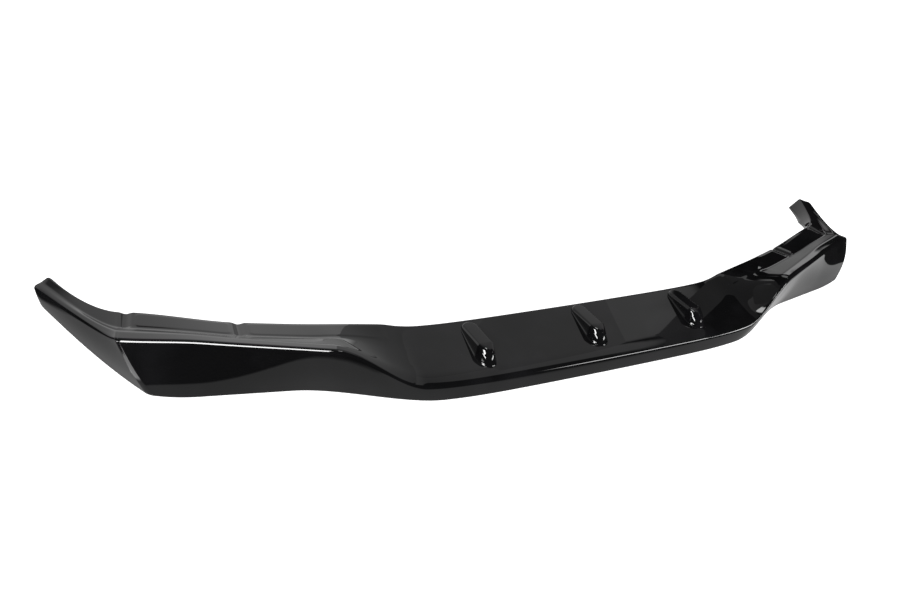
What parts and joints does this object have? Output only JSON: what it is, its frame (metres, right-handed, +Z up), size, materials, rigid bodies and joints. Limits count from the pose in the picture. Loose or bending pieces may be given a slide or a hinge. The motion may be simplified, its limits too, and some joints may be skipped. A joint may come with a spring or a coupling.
{
  "type": "front splitter lip",
  "caption": "Gloss black front splitter lip: a long moulded sheet with a low ribbed centre, raised wings with a ridge and rear pads, and swept-back tips, worn under a front bumper.",
  "frame": {"origin": "on the centre line, in the middle of the flat of the turned-under bottom edge that the lip rests on", "axes": "+X across the car, towards one wing tip; -Y to the front of the car; +Z up"},
  "size_m": [1.7844, 0.4029, 0.0961],
  "materials": {
    "body": "gloss black, moulded in one sheet"
  },
  "bodies": {
    "root": {"splitter_lip": "body"}
  },
  "joints": []
}
